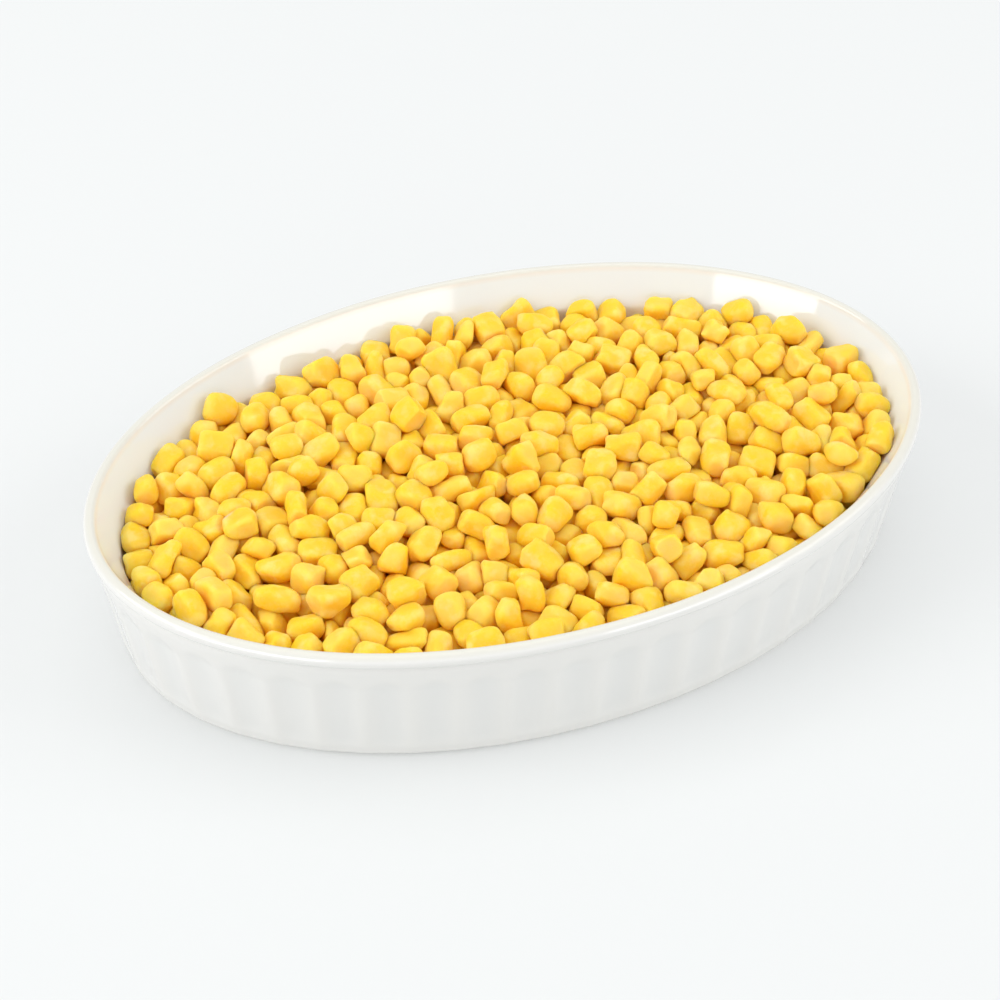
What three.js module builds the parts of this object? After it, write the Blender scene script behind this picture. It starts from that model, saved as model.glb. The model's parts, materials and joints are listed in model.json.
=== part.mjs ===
// Oval fluted baking dish of white glazed stoneware, filled with a heap of loose sweetcorn kernels.
// Millimetres, +Z up. The long axis of the oval lies along X, and the origin is the middle of the
// underside, on the surface that the dish stands on.

import * as THREE from 'three';
import { mergeVertices } from 'three/addons/utils/BufferGeometryUtils.js';
import { ConvexHull } from 'three/addons/math/ConvexHull.js';

// Outer size of the dish, over the lip
const LENGTH = 240;
const WIDTH = 154;
const HEIGHT = 43;

// Flutes: shallow round channels side by side round the wall, with the ridges between them. They
// run out under the plain band, and are shallower at the foot.
const FLUTES = 50;
const FLUTE_DEPTH = 0.8;
const FLUTE_RUN_OUT = 4.6;
const FOOT_FLUTE_SHARE = 0.4;
const STEPS_PER_FLUTE = 4;

// Lip: a round bead that stands out over a plain band, with a shallow groove between them
const LIP_ROUND = 2.1;
const BEAD_DROP = 3.4;
const BEAD_UNDERCUT = 0.2;
const GROOVE_DROP = 4.4;
const GROOVE_INSET = 1;
const BAND_DROP = 6.6;
const BAND_INSET = 1.1;

// Wall, floor and foot. DRAFT is how far the wall leans in from the band down to the foot. FLARE is
// how fast the inside widens, a millimetre of height, over its top stretch up to the lip.
const DRAFT = 4.4;
const WALL_THICKNESS = 6.8;
const FLARE_DROP = 12;
const FLARE = 0.47;
const FLOOR_TOP = 5;
const INNER_CORNER = 6;
const CORNER_SHARES = [0, 0.3, 1];
const FOOT_ROUND = 1.4;
const FOOT_RING_WIDTH = 5;
const FOOT_RING_HEIGHT = 1;
const ARC_STEPS = 7200;

// Heap of kernels: its level against the wall, the extra height of its middle and the waves on it
const FIT_GAP = 0.35;
const HEAP_EDGE_DROP = 9.2;
const HEAP_MOUND = 5;
const HEAP_WAVE = 0.8;
const WAVE_LENGTHS = [107, 88];

// Kernels that show: how close they lie, and how they stand up out of the valleys between them.
// The evening rounds move each towards the middle of its own space.
const KERNEL_SPACING = 6.5;
const WALL_CLEARANCE = 1.032;
const SCATTER_DRAWS = 30000;
const EVENING_ROUNDS = 2;
const EVENING_HOLD = 0.35;
const SHOULDER_REACH = 0.76;
const KERNEL_STRETCH = 0.07;
const KERNEL_ROUNDING = [0.5, 1.5];
const KERNEL_LEAN = 0.35;
const KERNEL_LEVEL_SPREAD = 1.5;
const VALLEY_DEPTH = 4.8;
const VALLEY_SPREAD = 0.5;
const VALLEY_Z = HEIGHT - HEAP_EDGE_DROP - VALLEY_DEPTH;
const SEED = 20413;

const GLAZE = { color: 0xf3f3ee, roughness: 0.16, metalness: 0 };
const CORN = { color: 0xf6c92c, roughness: 0.45, metalness: 0 };

// The outermost line of the lip: points with their outward normals, evenly spaced along the arc.
function ovalStations(count) {
  const halfLength = LENGTH / 2;
  const halfWidth = WIDTH / 2;
  const turn = (step) => (step / ARC_STEPS) * 2 * Math.PI;
  const at = (angle) => [halfLength * Math.cos(angle), halfWidth * Math.sin(angle)];
  const lengths = [0];
  for (let i = 1; i <= ARC_STEPS; i += 1) {
    const [x0, y0] = at(turn(i - 1));
    const [x1, y1] = at(turn(i));
    lengths.push(lengths[i - 1] + Math.hypot(x1 - x0, y1 - y0));
  }
  const stations = [];
  let step = 0;
  for (let k = 0; k < count; k += 1) {
    const target = (k / count) * lengths[ARC_STEPS];
    while (lengths[step + 1] <= target) {
      step += 1;
    }
    const part = (target - lengths[step]) / (lengths[step + 1] - lengths[step]);
    const [x, y] = at(turn(step + part));
    const normal = new THREE.Vector2(x / halfLength ** 2, y / halfWidth ** 2).normalize();
    stations.push({ x, y, normal });
  }
  return stations;
}

const FINE_STEPS = FLUTES * STEPS_PER_FLUTE;
const STATIONS = ovalStations(FINE_STEPS);

// A ring parallel to the outermost line, set in by a distance at one height. every thins the
// stations, and flute is the share of the full flute depth that the ring has.
function ring(inset, z, every = 1, flute = 0) {
  const points = [];
  for (let k = 0; k < FINE_STEPS; k += every) {
    const across = (k % STEPS_PER_FLUTE) / STEPS_PER_FLUTE;
    const channel = 1 - (2 * across - 1) ** 2;
    const depth = inset + flute * FLUTE_DEPTH * channel;
    const { x, y, normal } = STATIONS[k];
    points.push(new THREE.Vector3(x - normal.x * depth, y - normal.y * depth, z));
  }
  return points;
}

// A band of triangles between two rings, whose counts are equal or one twice the other.
function stitch(triangles, lower, upper) {
  const count = Math.min(lower.length, upper.length);
  for (let i = 0; i < count; i += 1) {
    const j = (i + 1) % count;
    if (lower.length === upper.length) {
      triangles.push([lower[i], lower[j], upper[j]], [lower[i], upper[j], upper[i]]);
    } else if (upper.length > lower.length) {
      const [a, b, c] = [upper[2 * i], upper[2 * i + 1], upper[2 * j]];
      triangles.push([lower[i], lower[j], b], [lower[i], b, a], [lower[j], c, b]);
    } else {
      const [a, b, c] = [lower[2 * i], lower[2 * i + 1], lower[2 * j]];
      triangles.push([a, b, upper[i]], [b, upper[j], upper[i]], [b, c, upper[j]]);
    }
  }
}

// The outside of a round body: rings in order, from the middle of its underside up to its top edge.
function addSide(triangles, rings, bottomZ) {
  const bottom = new THREE.Vector3(0, 0, bottomZ);
  const first = rings[0];
  first.forEach((point, i) => triangles.push([bottom, first[(i + 1) % first.length], point]));
  for (let i = 1; i < rings.length; i += 1) {
    stitch(triangles, rings[i - 1], rings[i]);
  }
}

// Triangles joined at their shared corners into one closed mesh.
function closed(triangles) {
  const values = triangles.flatMap((corners) => corners.flatMap((p) => [p.x, p.y, p.z]));
  const loose = new THREE.BufferGeometry();
  loose.setAttribute('position', new THREE.Float32BufferAttribute(values, 3));
  return mergeVertices(loose, 1e-4);
}

// Inset of the outer wall, on the ridges of its flutes, at a height.
function outerInset(z) {
  return BAND_INSET + (DRAFT * (HEIGHT - BAND_DROP - z)) / (HEIGHT - BAND_DROP);
}

// Inset of the smooth inner wall at a height: it has a round corner where it meets the floor, and
// flares out towards the lip.
function innerInset(z) {
  const flareZ = HEIGHT - FLARE_DROP;
  if (z > flareZ) {
    return outerInset(flareZ) + WALL_THICKNESS - FLARE * (z - flareZ);
  }
  const straight = outerInset(z) + WALL_THICKNESS;
  const above = (z - FLOOR_TOP) / INNER_CORNER;
  if (above >= 1) {
    return straight;
  }
  return straight + INNER_CORNER * (1 - Math.sqrt(1 - (1 - above) ** 2));
}

// The dish: its underside with the foot ring, the fluted wall, the band, the bead of the lip, and
// the smooth inside down to the floor.
function dishGeometry() {
  const half = STEPS_PER_FLUTE / 2;
  const recess = outerInset(0) + FOOT_ROUND + FOOT_RING_WIDTH;
  const bandZ = HEIGHT - BAND_DROP;
  const beadZ = HEIGHT - LIP_ROUND;
  const flareZ = HEIGHT - FLARE_DROP;
  const innerHalf = innerInset(beadZ) - LIP_ROUND;
  const outside = [
    ring(recess + FOOT_RING_HEIGHT, FOOT_RING_HEIGHT, half),
    ring(recess, 0, half),
    ring(outerInset(0) + FOOT_ROUND, 0, half),
    ring(outerInset(FOOT_ROUND), FOOT_ROUND, 1, FOOT_FLUTE_SHARE),
    ring(outerInset(3 * FOOT_ROUND), 3 * FOOT_ROUND, 1, 1),
    ring(outerInset(bandZ - FLUTE_RUN_OUT), bandZ - FLUTE_RUN_OUT, 1, 1),
    ring(BAND_INSET, bandZ),
  ];
  const bead = [
    ring(GROOVE_INSET, HEIGHT - GROOVE_DROP, half),
    ring(BEAD_UNDERCUT, HEIGHT - BEAD_DROP, half),
    ring(0, beadZ, half),
    ring(LIP_ROUND * (1 - Math.SQRT1_2), beadZ + LIP_ROUND * Math.SQRT1_2, half),
    ring(LIP_ROUND, HEIGHT, half),
    ring(LIP_ROUND + innerHalf * Math.SQRT1_2, beadZ + LIP_ROUND * Math.SQRT1_2, half),
    ring(innerInset(beadZ), beadZ, half),
    ring(innerInset(flareZ), flareZ, half),
  ];
  const inside = CORNER_SHARES.map((share) => {
    const z = FLOOR_TOP + INNER_CORNER * share;
    return ring(innerInset(z), z, half);
  }).reverse();
  const triangles = [];
  addSide(triangles, [...outside, ...bead, ...inside], FOOT_RING_HEIGHT);
  const floor = inside[inside.length - 1];
  const middle = new THREE.Vector3(0, 0, FLOOR_TOP);
  floor.forEach((point, i) => triangles.push([point, floor[(i + 1) % floor.length], middle]));
  return closed(triangles);
}

// A small seeded generator of even draws from 0 to 1.
function seeded(seed) {
  let state = seed;
  return () => {
    state = (state + 0x6d2b79f5) | 0;
    let t = Math.imul(state ^ (state >>> 15), 1 | state);
    t = (t + Math.imul(t ^ (t >>> 7), 61 | t)) ^ t;
    return ((t ^ (t >>> 14)) >>> 0) / 4294967296;
  };
}

// An even draw from minus to plus a size.
function spread(draw, size) {
  return (2 * draw() - 1) * size;
}

// Inset of the heap's side, which stands a fitting gap clear of the inner wall.
function heapInset(z) {
  return innerInset(z) + FIT_GAP;
}

// Share of the way from the middle of the heap (0) to its edge at the wall (1).
function ovalShare(x, y) {
  const inset = heapInset(VALLEY_Z);
  return Math.hypot(x / (LENGTH / 2 - inset), y / (WIDTH / 2 - inset));
}

// Height of the crowns of the kernels: a low mound with gentle waves.
function crownLevel(x, y) {
  const mound = HEAP_MOUND * (1 - Math.min(1, ovalShare(x, y)) ** 2);
  const [along, across] = [x / WAVE_LENGTHS[0], y / WAVE_LENGTHS[1]].map((s) => 2 * Math.PI * s);
  const waves = HEAP_WAVE * Math.sin(along + 0.6) * Math.cos(across - 0.4);
  return HEIGHT - HEAP_EDGE_DROP + mound + waves;
}

// Middles of the kernels that show: drawn at random over the heap, each a least distance from all
// the others and from the wall.
function scatter(draw) {
  const sites = [];
  for (let k = 0; k < SCATTER_DRAWS; k += 1) {
    const x = spread(draw, LENGTH / 2);
    const y = spread(draw, WIDTH / 2);
    const reach = ovalShare(x * WALL_CLEARANCE, y * WALL_CLEARANCE);
    const near = sites.some((site) => Math.hypot(site.x - x, site.y - y) < KERNEL_SPACING);
    if (reach < 1 && !near) {
      sites.push(new THREE.Vector2(x, y));
    }
  }
  return sites;
}

// Triangles between sites, none with another site inside its circle: the underside of the hull of
// the sites once they are lifted onto a paraboloid.
function triangulate(sites) {
  const lifted = sites.map(({ x, y }) => new THREE.Vector3(x, y, (x * x + y * y) / LENGTH));
  const order = new Map(lifted.map((point, i) => [point, i]));
  const faces = new ConvexHull().setFromPoints(lifted).faces.filter((face) => face.normal.z < 0);
  return faces.map((face) => {
    const corners = [face.edge, face.edge.next, face.edge.next.next];
    return corners.map((edge) => order.get(edge.head().point));
  });
}

// For each site, the middles of the triangles round it, in order of their direction from it. The
// order starts at the direction that start gives for the site.
function cells(sites, triangles, start) {
  const around = sites.map(() => []);
  triangles.forEach((corners, face) => corners.forEach((site) => around[site].push(face)));
  const middles = triangles.map((corners) => {
    const sum = corners.reduce((total, i) => total.add(sites[i]), new THREE.Vector2());
    return sum.divideScalar(3);
  });
  const turn = (site, face) => {
    const away = middles[face].clone().sub(sites[site]).angle() - start(site);
    return (away + 4 * Math.PI) % (2 * Math.PI);
  };
  around.forEach((faces, site) => faces.sort((a, b) => turn(site, a) - turn(site, b)));
  return { around, middles };
}

// One kernel: from the valley round it up to its shoulder and its crown. It leans to one side, and
// is longer than it is wide.
function addKernel(triangles, site, valley, draw) {
  const lean = new THREE.Vector2(spread(draw, KERNEL_LEAN), spread(draw, KERNEL_LEAN));
  const crown = crownLevel(site.x, site.y) + spread(draw, KERNEL_LEVEL_SPREAD);
  const [sharp, round] = KERNEL_ROUNDING;
  const shoulderZ = crown - sharp - (round - sharp) * draw();
  const along = draw() * Math.PI;
  const shoulder = valley.map((corner) => {
    const out = new THREE.Vector2(corner.x - site.x, corner.y - site.y);
    const longer = 1 + KERNEL_STRETCH * Math.cos(2 * (out.angle() - along));
    out.multiplyScalar(SHOULDER_REACH * longer);
    return new THREE.Vector3(site.x + out.x, site.y + out.y, shoulderZ + out.dot(lean));
  });
  const top = new THREE.Vector3(site.x, site.y, crown);
  stitch(triangles, valley, shoulder);
  shoulder.forEach((point, i) => triangles.push([point, shoulder[(i + 1) % shoulder.length], top]));
}

// The top of the heap: kernels side by side, joined along the valleys between them, out to the
// edge that the heap has at the wall.
function addTop(triangles, edge) {
  const draw = seeded(SEED);
  const rim = edge.map(({ x, y }) => new THREE.Vector2(x, y));
  let kernels = scatter(draw);
  const start = (site) => {
    const i = site - kernels.length;
    return i < 0 ? 0 : rim[(i + 1) % rim.length].clone().sub(rim[i]).angle();
  };
  const divide = () => {
    const sites = [...kernels, ...rim];
    return cells(sites, triangulate(sites), start);
  };
  for (let round = 0; round < EVENING_ROUNDS; round += 1) {
    const { around, middles } = divide();
    kernels = kernels.map((site, i) => {
      const sum = new THREE.Vector2();
      around[i].forEach((face) => sum.add(middles[face]));
      return sum.divideScalar(around[i].length).lerp(site, EVENING_HOLD);
    });
  }
  const map = divide();
  const valleys = map.middles.map(({ x, y }) => {
    return new THREE.Vector3(x, y, crownLevel(x, y) - VALLEY_DEPTH + spread(draw, VALLEY_SPREAD));
  });
  kernels.forEach((site, i) => {
    addKernel(triangles, site, map.around[i].map((face) => valleys[face]), draw);
  });
  edge.forEach((point, i) => {
    const round = map.around[kernels.length + i].map((face) => valleys[face]);
    for (let k = 1; k < round.length; k += 1) {
      triangles.push([point, round[k - 1], round[k]]);
    }
    triangles.push([point, edge[(i + 1) % edge.length], round[0]]);
  });
}

function heapGeometry() {
  const coarse = STEPS_PER_FLUTE;
  const wall = CORNER_SHARES.map((share) => {
    const z = FLOOR_TOP + INNER_CORNER * share;
    return ring(heapInset(z), z + FIT_GAP, coarse);
  });
  const edge = ring(heapInset(VALLEY_Z), VALLEY_Z, coarse / 2);
  const triangles = [];
  addSide(triangles, [...wall, edge], FLOOR_TOP + FIT_GAP);
  addTop(triangles, edge);
  return closed(triangles);
}

function named(name, geometry, finish) {
  const mesh = new THREE.Mesh(geometry, new THREE.MeshStandardMaterial(finish));
  mesh.name = name;
  return mesh;
}

const group = new THREE.Group();
group.add(named('dish', dishGeometry(), GLAZE));
group.add(named('corn_heap', heapGeometry(), CORN));

export default group;
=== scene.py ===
"""Oval fluted baking dish of white glazed stoneware, filled with a heap of loose sweetcorn kernels.

Lengths inside the classes are millimetres, and become metres where a mesh, light or camera is made.
The long axis of the oval lies along X, and the dish stands on the plane z = 0.
"""

from __future__ import annotations

import json
import logging
import sys
from dataclasses import dataclass, field
from enum import Enum
from typing import Any

import bpy
import numpy as np
from mathutils import Matrix, Vector

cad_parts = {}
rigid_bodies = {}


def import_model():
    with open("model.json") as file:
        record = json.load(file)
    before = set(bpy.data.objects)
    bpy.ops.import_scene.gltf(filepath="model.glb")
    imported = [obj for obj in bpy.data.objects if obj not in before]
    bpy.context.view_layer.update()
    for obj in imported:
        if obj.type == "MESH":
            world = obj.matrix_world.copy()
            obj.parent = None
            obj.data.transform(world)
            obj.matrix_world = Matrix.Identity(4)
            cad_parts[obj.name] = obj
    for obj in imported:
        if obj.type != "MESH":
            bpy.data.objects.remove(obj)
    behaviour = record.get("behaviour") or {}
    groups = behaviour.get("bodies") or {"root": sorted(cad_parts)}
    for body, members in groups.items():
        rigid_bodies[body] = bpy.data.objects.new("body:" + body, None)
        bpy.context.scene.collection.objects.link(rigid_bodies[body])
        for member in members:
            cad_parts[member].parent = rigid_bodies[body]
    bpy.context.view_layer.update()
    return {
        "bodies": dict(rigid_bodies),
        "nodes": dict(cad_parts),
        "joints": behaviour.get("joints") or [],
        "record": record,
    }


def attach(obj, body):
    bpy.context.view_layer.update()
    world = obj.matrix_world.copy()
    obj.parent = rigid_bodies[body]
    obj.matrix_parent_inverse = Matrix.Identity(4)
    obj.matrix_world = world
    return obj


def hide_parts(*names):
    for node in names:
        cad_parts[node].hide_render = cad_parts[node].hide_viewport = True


LOG = logging.getLogger("sweetcorn_dish")
MM = 0.001
BODY = "root"
# A size strays from its mean by this many spreads at most, and a cut leans by this slope at most.
SPREAD_LIMIT = 1.8
CUT_LEAN = 0.35
# Heights of the slow waves round a kernel, and reach of its crown's hollow, as shares of its size
WAVE_HEIGHTS = (0.035, 0.03)
DIMPLE_REACH = 0.27
# Millimetres over which a pressed face and the cut tip are rounded into the rest, and square
# millimetres over which a pressed face sinks
PRESS_SOFTNESS = 0.5
CUT_SOFTNESS = 0.3
SINK_AREA = 5.0
# Pressed faces and dents of each kernel, and the ranges that their numbers are drawn from
FLATS = 5
FLAT_RANGES = {"rise": (-0.35, 0.6), "reach": (0.74, 0.99), "sink": (0.0, 0.35)}
DENTS = 5
DENT_RANGES = {"rise": (-0.9, 0.9), "wave": (3.2, 7.2), "from": (0.0, 2 * np.pi)}
DENT_DEPTH = (0.06, 0.15)


def linear(colour: str) -> tuple[float, float, float, float]:
    """Turns an sRGB colour into linear light.

    Args:
        colour: The colour as # and six hex digits.

    Returns:
        Red, green and blue in linear light, and 1 for alpha.
    """
    channels = np.array([int(colour[i : i + 2], 16) for i in (1, 3, 5)]) / 255
    light = np.where(channels <= 0.04045, channels / 12.92, ((channels + 0.055) / 1.055) ** 2.4)
    return (*light.tolist(), 1.0)


def add_node(
    tree: bpy.types.NodeTree, kind: str, inputs: dict[str | int, Any] | None = None, **settings: Any
) -> bpy.types.Node:
    """Adds one shader node with its settings and its links.

    Args:
        tree: The node tree that takes the node.
        kind: The node's type, without the ShaderNode in front.
        inputs: Values, or the output sockets that feed them, by the input's name or number.
        settings: The node's own properties.

    Returns:
        The new node.
    """
    node = tree.nodes.new("ShaderNode" + kind)
    for name, value in settings.items():
        setattr(node, name, value)
    for key, value in (inputs or {}).items():
        if isinstance(value, bpy.types.NodeSocket):
            tree.links.new(value, node.inputs[key])
        else:
            node.inputs[key].default_value = value
    return node


def new_material(name: str) -> tuple[bpy.types.Material, bpy.types.NodeTree]:
    """Makes an empty node material.

    Args:
        name: The material's name.

    Returns:
        The material and its cleared node tree.
    """
    material = bpy.data.materials.new(name)
    material.use_nodes = True
    material.node_tree.nodes.clear()
    return material, material.node_tree


def signed_power(values: np.ndarray, exponent: np.ndarray | float) -> np.ndarray:
    """Raises the size of each value to a power and keeps its sign."""
    return np.sign(values) * np.abs(values) ** exponent


def soft_excess(values: np.ndarray, softness: float) -> np.ndarray:
    """The part of each value above nought, rounded where it starts."""
    return 0.5 * (values + np.sqrt(values**2 + softness**2))


@dataclass
class Surface:
    """A closed surface, or many of them in one mesh.

    Attributes:
        points: One row of x, y and z for each point, in millimetres.
        quads: Four point numbers for each four-sided face.
        triangles: Three point numbers for each triangle.
        values: Named numbers for the materials, one for each point.
        finish: The material slot of each face, quads first, or None where there is one slot.
    """

    points: np.ndarray
    quads: np.ndarray
    triangles: np.ndarray
    values: dict[str, np.ndarray] = field(default_factory=dict)
    finish: np.ndarray | None = None

    def mesh(self, name: str) -> bpy.types.Mesh:
        """Puts the arrays into a mesh, in metres.

        Args:
            name: The mesh's name.

        Returns:
            The smooth shaded mesh.
        """
        mesh = bpy.data.meshes.new(name)
        corners = np.concatenate([self.quads.ravel(), self.triangles.ravel()]).astype(np.int32)
        starts_of_quads = np.arange(len(self.quads)) * 4
        starts_of_triangles = self.quads.size + np.arange(len(self.triangles)) * 3
        starts = np.concatenate([starts_of_quads, starts_of_triangles]).astype(np.int32)
        mesh.vertices.add(len(self.points))
        mesh.vertices.foreach_set("co", (self.points * MM).astype(np.float32).ravel())
        mesh.loops.add(len(corners))
        mesh.loops.foreach_set("vertex_index", corners)
        mesh.polygons.add(len(starts))
        mesh.polygons.foreach_set("loop_start", starts)
        mesh.polygons.foreach_set("use_smooth", np.ones(len(starts), dtype=bool))
        if self.finish is not None:
            mesh.polygons.foreach_set("material_index", self.finish.astype(np.int32))
        mesh.update(calc_edges=True)
        for key, numbers in self.values.items():
            attribute = mesh.attributes.new(key, "FLOAT", "POINT")
            attribute.data.foreach_set("value", numbers.astype(np.float32).ravel())
        return mesh

    def piece(self, name: str, materials: list[bpy.types.Material]) -> bpy.types.Object:
        """Makes the surface an object at the origin, with its place in its mesh.

        Args:
            name: The piece's name.
            materials: The materials of its slots.

        Returns:
            The object, linked into the scene.
        """
        mesh = self.mesh(name)
        for material in materials:
            mesh.materials.append(material)
        piece = bpy.data.objects.new(name, mesh)
        bpy.context.scene.collection.objects.link(piece)
        return piece


def capped_rings(rings: int, columns: int) -> tuple[np.ndarray, np.ndarray]:
    """Faces of rings of points that are closed by one point at each end.

    The points are counted ring by ring, then the point that closes the first ring, then the one that
    closes the last. Faces point outwards where the rings run anticlockwise round the way they go up.

    Args:
        rings: How many rings there are.
        columns: How many points each ring has.

    Returns:
        The quads between the rings, and the triangles at the two ends.
    """
    ring = np.arange(rings - 1)[:, None] * columns
    here = np.arange(columns)[None, :]
    following = (here + 1) % columns
    quads = np.stack(
        [ring + here, ring + following, ring + columns + following, ring + columns + here], axis=-1
    ).reshape(-1, 4)
    first = rings * columns
    last_ring = (rings - 1) * columns
    here, following = here[0], following[0]
    start = np.stack([np.full(columns, first), following, here], axis=-1)
    end = np.stack([last_ring + here, last_ring + following, np.full(columns, first + 1)], axis=-1)
    return quads, np.concatenate([start, end])


@dataclass(frozen=True)
class Oval:
    """The outermost line of the lip, seen from above: an ellipse.

    Attributes:
        half_length: Half of the dish's length.
        half_width: Half of the dish's width.
        arc_steps: Steps in which the line's length is added up.
    """

    half_length: float = 120.0
    half_width: float = 77.0
    arc_steps: int = 7200

    def stations(self, count: int) -> tuple[np.ndarray, np.ndarray]:
        """Points evenly spaced along the line, and its outward directions there.

        The line's length is summed in small steps of the angle, and each point's angle is read back
        from its share of the whole length.

        Args:
            count: How many points there are, anticlockwise from the +X end.

        Returns:
            The points and the unit normals, one row of x and y each.
        """
        angles = np.linspace(0, 2 * np.pi, self.arc_steps + 1)
        line = np.stack([self.half_length * np.cos(angles), self.half_width * np.sin(angles)], -1)
        steps = np.hypot(*np.diff(line, axis=0).T)
        lengths = np.concatenate([[0], np.cumsum(steps)])
        at = np.interp(np.arange(count) / count * lengths[-1], lengths, angles)
        points = np.stack([self.half_length * np.cos(at), self.half_width * np.sin(at)], -1)
        normals = points / np.array([self.half_length, self.half_width]) ** 2
        return points, normals / np.linalg.norm(normals, axis=1)[:, None]

    def rings(self, inset: np.ndarray, height: np.ndarray, columns: int) -> np.ndarray:
        """Lines parallel to the oval: each point moves in along its normal.

        Args:
            inset: How far in, as an array of rings, or of rings by columns.
            height: The height of each ring.
            columns: How many points each ring has.

        Returns:
            Points of every ring, as rings by columns by three.
        """
        points, normals = self.stations(columns)
        depth = np.broadcast_to(inset.reshape(len(height), -1), (len(height), columns))
        flat = points[None] - normals[None] * depth[..., None]
        level = np.broadcast_to(height[:, None, None], (len(height), columns, 1))
        return np.concatenate([flat, level], axis=-1)

    def share(self, places: np.ndarray, inset: float) -> np.ndarray:
        """Share of the way from the middle (0) to the line at an inset (1), for rows of x and y."""
        reach = np.array([self.half_length - inset, self.half_width - inset])
        return np.hypot(places[..., 0] / reach[0], places[..., 1] / reach[1])


@dataclass(frozen=True)
class DishForm:
    """Sizes of the dish, and the insets of its walls from the outermost line of the lip.

    Attributes:
        oval: The outermost line.
        height: The height of the lip's crest.
        flutes: Number of channels round the wall.
        flute_depth: Depth of a channel below the ridges beside it.
        flute_run_out: Height over which a channel ends in a round arch under the band.
        foot_flute_share: Share of the flute depth at the rounded foot.
        lip_round: Radius of the bead of the lip.
        bead_start: Angle below level, in degrees, at which the bead leaves the groove.
        groove_drop: Drop of the groove's middle below the crest.
        groove_inset: Inset of the groove's middle.
        band_drop: Drop of the plain band's lower edge below the crest.
        band_inset: Inset of the band.
        draft: How far the wall leans in from the band to the foot.
        wall: Thickness of the wall below the flare.
        flare_drop: Drop below the crest at which the inside starts to flare.
        flare: Millimetres that the inside widens for each millimetre of height.
        floor_top: Height of the inside floor.
        inner_corner: Radius between the inner wall and the floor.
        foot_round: Radius of the foot's outer edge.
        foot_ring_width: Width of the flat ring that the dish stands on.
        foot_ring_height: Height of the underside inside the ring.
    """

    oval: Oval = Oval()
    height: float = 43.0
    flutes: int = 50
    flute_depth: float = 0.8
    flute_run_out: float = 7.5
    foot_flute_share: float = 0.4
    lip_round: float = 2.1
    bead_start: float = 58.0
    groove_drop: float = 4.4
    groove_inset: float = 1.25
    band_drop: float = 6.6
    band_inset: float = 1.1
    draft: float = 4.4
    wall: float = 6.8
    flare_drop: float = 12.0
    flare: float = 0.47
    floor_top: float = 5.0
    inner_corner: float = 6.0
    foot_round: float = 2.8
    foot_ring_width: float = 5.0
    foot_ring_height: float = 1.0

    def outer_inset(self, height: np.ndarray) -> np.ndarray:
        """Inset of the outer wall on the ridges: the wall leans in evenly below the band."""
        band = self.height - self.band_drop
        return self.band_inset + self.draft * (band - height) / band

    def inner_inset(self, height: np.ndarray) -> np.ndarray:
        """Inset of the inner wall: a round corner, an even wall, and the flare up to the lip.

        Args:
            height: Heights above the table.

        Returns:
            The inset at each height.
        """
        height = np.asarray(height, dtype=float)
        flare_start = self.height - self.flare_drop
        even = self.outer_inset(np.minimum(height, flare_start)) + self.wall
        over = np.clip((height - self.floor_top) / self.inner_corner, 0, 1)
        corner = self.inner_corner * (1 - np.sqrt(1 - (1 - over) ** 2))
        return even + corner - self.flare * np.maximum(0, height - flare_start)


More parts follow.
